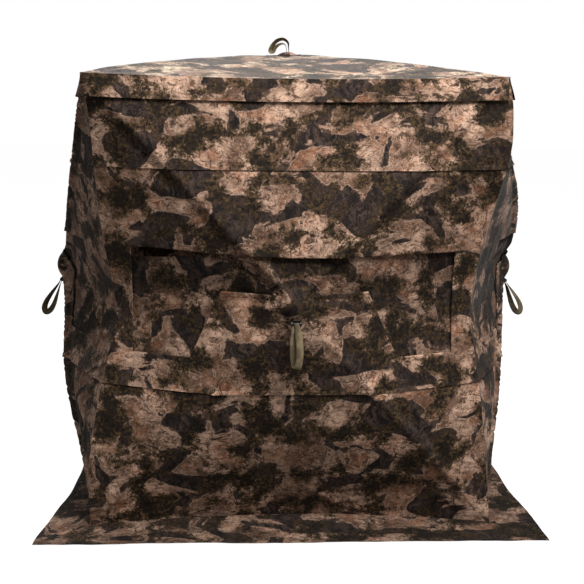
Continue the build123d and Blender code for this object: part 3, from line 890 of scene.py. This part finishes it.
def add_skirt(material):
    """The flap on the ground: its inner edge follows the walls' feet, its outer edge is mitred."""
    for wall in WALLS:
        columns = 140
        rows = 16
        s = np.repeat(np.linspace(-1, 1, columns), rows)
        t = np.tile(np.linspace(0, 1, rows), columns)
        k = WALLS[wall]
        inner = HALF - FOOT_BOW * (1 - s**2) - 0.002
        edge = SKIRT_OUT + 0.006 * waves(s, s * 0, 81 + k, 6, 0.2, 0.9) * smooth((1 - np.abs(s)) / 0.1)
        ends = np.full(len(s), SKIRT_OUT)
        if wall in ("left", "right"):
            behind = (1 - s) / 2 if wall == "left" else (1 + s) / 2
            edge -= SKIRT_PULL[wall] * smooth(behind / 0.35)
        if wall == "back":
            ends -= np.where(s > 0, SKIRT_PULL["left"], SKIRT_PULL["right"])
        depth = inner + (edge - inner) * t
        x = s * (HALF + (ends - HALF) * t)
        fold = waves(x, depth, 91 + k, 12, 0.08, 0.35) * 0.004 * smooth((1 - np.abs(s)) / 0.06)
        z = 0.0035 + (FOOT_LIFT * (1 - s**2)) * smooth(1 - t / 0.55) + np.abs(fold) * (1 - 0.5 * t)
        turn = k * math.pi / 2
        c = round(math.cos(turn))
        d = round(math.sin(turn))
        points = np.stack([c * x + d * depth, d * x - c * depth, z], axis=1)
        uv = np.stack([x + WALL_SHIFT * k + 0.9, -depth + 4.0], axis=1)
        obj = add_mesh("skirt_" + wall, points, grid_faces(columns, rows), uv, material)
        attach(obj, "root")
        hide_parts("ground_skirt")


def ribbon(name, centre, across, width, thick, material, body):
    """A flat strap along a path, with a direction across it at each point."""
    centre = np.asarray(centre, float)
    across = np.asarray(across, float)
    ahead = np.gradient(centre, axis=0)
    ahead /= np.linalg.norm(ahead, axis=1)[:, None]
    across -= (across * ahead).sum(1)[:, None] * ahead
    across /= np.linalg.norm(across, axis=1)[:, None]
    normal = np.cross(ahead, across)
    widths = np.broadcast_to(np.asarray(width, float), (len(centre),))[:, None]
    corners = [(-1, -1), (-0.5, -1), (0.5, -1), (1, -1), (1, 1), (0.5, 1), (-0.5, 1), (-1, 1)]
    rings = []
    for a, b in corners:
        flat = 0.6 if abs(a) == 1 else 1.0
        rings.append(centre + across * widths * a / 2 + normal * thick * b * flat / 2)
    points = np.stack(rings, axis=1).reshape(-1, 3)
    count = len(corners)
    run = np.concatenate([[0], np.cumsum(np.linalg.norm(np.diff(centre, axis=0), axis=1))])
    uv = [(corners[j][0] * 0.0125, run[i]) for i in range(len(centre)) for j in range(count)]
    faces = []
    for i in range(len(centre) - 1):
        for j in range(count):
            m = (j + 1) % count
            faces.append((i * count + j, i * count + m, (i + 1) * count + m, (i + 1) * count + j))
    faces.append(tuple(range(count))[::-1])
    last = (len(centre) - 1) * count
    faces.append(tuple(range(last, last + count)))
    obj = add_mesh(name, points, faces, uv, material)
    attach(obj, body)
    return obj


def curve_through(points, count):
    """A smooth path through points, by Catmull-Rom pieces."""
    p = np.asarray([points[0], *points, points[-1]], float)
    path = []
    spans = len(points) - 1
    for u in np.linspace(0, spans - 1e-6, count):
        i = int(u)
        t = u - i
        a, b, c, d = p[i : i + 4]
        square = (2 * a - 5 * b + 4 * c - d) * t**2
        cube = (3 * b - a - 3 * c + d) * t**3
        path.append(0.5 * (2 * b + (c - a) * t + square + cube))
    return np.array(path)


def wall_frame_points(wall, local):
    """Points given as x across, out and up on a wall, in their place on the blind."""
    local = np.asarray(local, float)
    turn = WALLS[wall] * math.pi / 2
    c = round(math.cos(turn))
    s = round(math.sin(turn))
    x, out, z = local[:, 0], local[:, 1], local[:, 2]
    return np.stack([c * x + s * out, s * x - c * out, z], axis=1)


def loop_strap(name, body, there, back, axis, twist, spread, material):
    """A folded strap whose two strands turn their faces and stand a little apart."""
    count = 90
    centre = curve_through(there + back, count)
    axis = np.asarray(axis, float)
    run = np.linspace(0, 1, count)
    swell = np.sin(run * math.pi) ** 1.5
    ahead = np.gradient(centre, axis=0)
    ahead /= np.linalg.norm(ahead, axis=1)[:, None]
    edge = np.cross(ahead, axis)
    turn = (twist * swell)[:, None]
    across = np.cos(turn) * axis + np.sin(turn) * edge
    centre = centre + axis * (spread * np.sin(run * 2 * math.pi))[:, None]
    width = STRAP_WIDTH * (0.55 + 0.45 * smooth(np.minimum(run, 1 - run) / 0.16))
    return ribbon(name, centre, across, width, STRAP_THICK, material, body)


def add_pull_loops(material):
    lean = math.radians(25)
    turns = {"front": (0.25, 0.010), "right": (1.25, 0.004), "back": (0.3, 0.006), "left": (1.2, 0.004)}
    for wall, (twist, spread) in turns.items():
        down = np.array([0, math.sin(lean), -math.cos(lean)])
        out = np.array([0, math.cos(lean), math.sin(lean)])
        pin = np.array([0, LUG_OUT, LUG_Z])
        there = [(0.0, 0.0045), (0.025, 0.006), (0.07, 0.015), (0.112, 0.021), (0.142, 0.018), (0.156, 0.005)]
        back = [(0.142, -0.008), (0.11, -0.011), (0.07, -0.007), (0.025, -0.002), (0.0, -0.0045)]
        first = [pin + down * a + out * b for a, b in there]
        second = [pin + down * a + out * b for a, b in back]
        first = [wall_frame_points(wall, [p])[0] for p in first]
        second = [wall_frame_points(wall, [p])[0] for p in second]
        axis = wall_frame_points(wall, [(1, 0, 0)])[0]
        obj = loop_strap("strap_" + wall, "pull_loop_" + wall, first, second, axis, twist, spread, material)
        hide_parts("pull_loop_" + wall)
    rising = [(0.0045, 0.0), (0.002, 0.03), (-0.001, 0.052), (-0.020, 0.065), (-0.045, 0.058)]
    rising += [(-0.063, 0.038)]
    falling = [(-0.071, 0.018), (-0.060, 0.016), (-0.052, 0.030), (-0.037, 0.043), (-0.020, 0.047)]
    falling += [(-0.0085, 0.036), (-0.0045, 0.0)]
    first = [ROOF_PIN + np.array([x, 0, z]) for x, z in rising]
    second = [ROOF_PIN + np.array([x, 0, z]) for x, z in falling]
    obj = loop_strap("strap_roof", "pull_loop_roof", first, second, (0, 1, 0), 0.7, 0.003, material)
    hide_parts("pull_loop_roof")


def cover_height(across, up, ground):
    """Height of a hub's cloth cover over the cap and its tongue, standing on the cloth around."""
    away = np.hypot(across, up)
    radius = (CAP_R**2 + (CAP_TOP - CAP_RIM) ** 2) / (2 * (CAP_TOP - CAP_RIM))
    dome = CAP_TOP - radius + np.sqrt(np.maximum(radius**2 - away**2, 0))
    raised = np.where(away < CAP_R + 0.002, dome + 0.0016, ground)
    beside = np.maximum(np.abs(across) - 0.019, 0) / 0.012
    below = np.maximum(up + 0.05, 0) / 0.012 + np.maximum(-up - 0.080, 0) / 0.012
    tongue = smooth(1 - np.hypot(beside, below))
    rim = smooth(1 - (away - CAP_R) / 0.018)
    slope = ground + (CAP_RIM + 0.0016 - ground) * rim
    raised = np.where(away < CAP_R, raised, np.maximum(slope, ground + 0.0016))
    return np.maximum(raised, ground + (0.9235 - ground) * tongue)


def add_hub_covers(material):
    """Round patches of cloth sewn over the caps, with a slot where the pull loop comes out."""
    rings = 34
    spokes = 96
    radii = np.linspace(0.0, COVER_R, rings)[1:]
    angle = np.linspace(0, 2 * math.pi, spokes, endpoint=False)
    across = np.concatenate([[0.0], (radii[:, None] * np.cos(angle)).ravel()])
    up = np.concatenate([[0.0], (radii[:, None] * np.sin(angle)).ravel()])
    faces = [(0, 1 + i, 1 + (i + 1) % spokes) for i in range(spokes)]
    for ring in range(rings - 2):
        for i in range(spokes):
            j = (i + 1) % spokes
            a = 1 + ring * spokes
            faces.append((a + i, a + spokes + i, a + spokes + j, a + j))
    kept = []
    for face in faces:
        x = np.mean(across[list(face)])
        y = np.mean(up[list(face)])
        if abs(x) > 0.0185 or not -0.0715 < y < -0.0515:
            kept.append(face)
    away = np.hypot(across, up)
    for wall in WALLS:
        z = up + HUB_Z
        ground = wall_depth(wall, across, z)
        height = cover_height(across, up, ground)
        points = wall_points(wall, across, z, height - ground)
        share = push_share(wall, across, z)
        share += (1 - share) * smooth(1 - (away - CAP_R) / 0.02)
        uv = np.stack([across + WALL_SHIFT * WALLS[wall], z], axis=1)
        obj = add_mesh("cover_" + wall, points, kept, uv, material)
        set_weights(obj)
    lift = APEX - REACH
    ground = roof_height(across / HALF, up / HALF) - lift
    height = cover_height(across, up, ground) + lift
    points = np.stack([across, up, height], axis=1)
    uv = np.stack([across, up + 9.3], axis=1)
    obj = add_mesh("cover_roof", points, kept, uv, material)
    share = np.clip((1 - away / HALF - 0.061) / 0.896, 0, 1)
    share += (1 - share) * smooth(1 - (away - CAP_R) / 0.02)
    set_weights(obj)


# Scene


def add_light(name, energy, size, location, target):
    """A square light aimed at a point."""
    data = bpy.data.lights.new(name, "AREA")
    data.energy = energy
    data.shape = "SQUARE"
    data.size = size
    lamp = bpy.data.objects.new(name, data)
    bpy.context.scene.collection.objects.link(lamp)
    aim = Vector(target) - Vector(location)
    lamp.matrix_world = Matrix.Translation(location) @ aim.to_track_quat("-Z", "Y").to_matrix().to_4x4()


def add_surroundings():
    """A white ground and background for the picture, and two lights."""
    scene = bpy.context.scene
    scene.view_settings.view_transform = "Standard"
    world = bpy.data.worlds.new("world")
    world.use_nodes = True
    tree = world.node_tree
    back = tree.nodes["Background"]
    back.inputs["Color"].default_value = (1, 1, 1, 1)
    seen = tree.nodes.new("ShaderNodeLightPath")
    level = tree.nodes.new("ShaderNodeMapRange")
    level.inputs["To Min"].default_value = FILL
    level.inputs["To Max"].default_value = 1.0
    tree.links.new(seen.outputs["Is Camera Ray"], level.inputs["Value"])
    tree.links.new(level.outputs["Result"], back.inputs["Strength"])
    scene.world = world
    mesh = bpy.data.meshes.new("floor")
    mesh.from_pydata([(-30, -30, 0), (30, -30, 0), (30, 30, 0), (-30, 30, 0)], [], [(0, 1, 2, 3)])
    floor = bpy.data.objects.new("floor", mesh)
    scene.collection.objects.link(floor)
    pale = Nodes("floor")
    pale.surface.inputs["Base Color"].default_value = (0.2, 0.2, 0.2, 1)
    pale.surface.inputs["Roughness"].default_value = 1.0
    pale.surface.inputs["Specular IOR Level"].default_value = 0.0
    pale.surface.inputs["Emission Color"].default_value = (1, 1, 1, 1)
    pale.surface.inputs["Emission Strength"].default_value = 0.94
    mesh.materials.append(pale.material)
    floor.visible_diffuse = False
    floor.visible_glossy = False
    add_light("key", 350, 2.2, (1.4, -3.1, 4.9), (0, 0, 1.0))
    add_light("rim", 150, 2.6, (-1.2, 3.4, 4.9), (0, 0, 1.0))


def finish_nodes(materials):
    """Gives each CAD node that still shows its material."""
    for name, node in frame["nodes"].items():
        kind = "dark_trim"
        if name.startswith("pole_"):
            kind = "fibreglass"
        elif name.endswith(("_body", "_cap")):
            kind = "hub_plastic"
        elif name.endswith("_fasteners") or name in ("stake_eyelets", "zip_slider_high", "zip_slider_low"):
            kind = "steel"
        node.data.materials.clear()
        node.data.materials.append(materials[kind])


def main():
    add_camera()
    camo = camouflage("camo_cloth", 1.0)
    # The curtain's copy of the camouflage is darker by painted shade, the shade of the recess behind the
    # window.
    curtain_camo_painted_shade = camouflage("camo_curtain", 0.75)
    # The skirt's copy of the camouflage is darker by painted shade.
    camo_skirt = camouflage("camo_skirt", 0.6)
    webbing = webbing_material("webbing", linear(140, 124, 88), linear(76, 64, 43))
    finish_nodes({
        "hub_plastic": moulded_material("hub_plastic", (0.012, 0.012, 0.012), (0.05, 0.05, 0.048), 0.42),
        "fibreglass": moulded_material("fibreglass", (0.02, 0.021, 0.018), (0.09, 0.09, 0.08), 0.35),
        "steel": metal_material("steel", (0.08, 0.078, 0.075)),
        "dark_trim": woven_material("dark_trim", (0.05, 0.043, 0.035), (0.014, 0.012, 0.01)),
    })
    add_walls(camo)
    # The roof's copy of the camouflage is lighter by a painted highlight, the pale sheen of the roof seen at
    # a grazing angle.
    add_roof(camouflage("camo_roof_painted_highlight", 1.7, 0.5))
    add_valance(camo)
    add_seams(camo)
    add_curtains(curtain_camo_painted_shade)
    add_skirt(camo_skirt)
    add_hub_covers(camo)
    add_pull_loops(webbing)
    for joint in frame["joints"]:
        if joint["child"].startswith("pole_"):
            add_boot(joint)
    add_surroundings()


main()
